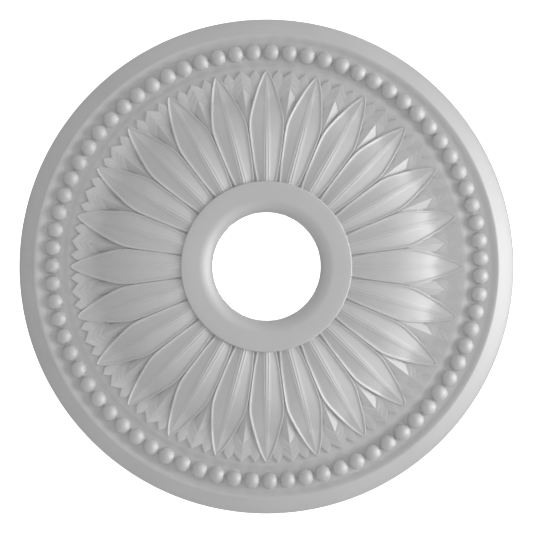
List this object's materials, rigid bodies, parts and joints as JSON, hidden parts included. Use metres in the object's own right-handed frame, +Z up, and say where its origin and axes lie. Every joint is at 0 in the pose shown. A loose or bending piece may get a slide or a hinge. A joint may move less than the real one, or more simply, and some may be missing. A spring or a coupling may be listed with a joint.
{
  "type": "ceiling rose",
  "caption": "Round moulded ceiling rose with a ring of pointed petals, a beaded border, a rolled rim and a hub ring round an open centre hole.",
  "frame": {"origin": "on the axis of the centre hole, in the plane of the flat back that lies against the ceiling", "axes": "+Z up, out of the flat back toward the ceiling; the ornament faces -Z; one petal lies along +Y and one along +X"},
  "size_m": [0.508, 0.508, 0.0381],
  "materials": {
    "moulding": "factory-primed moulded foam plastic, very light satin"
  },
  "bodies": {
    "root": {"ceiling_rose": "moulding"}
  },
  "joints": []
}
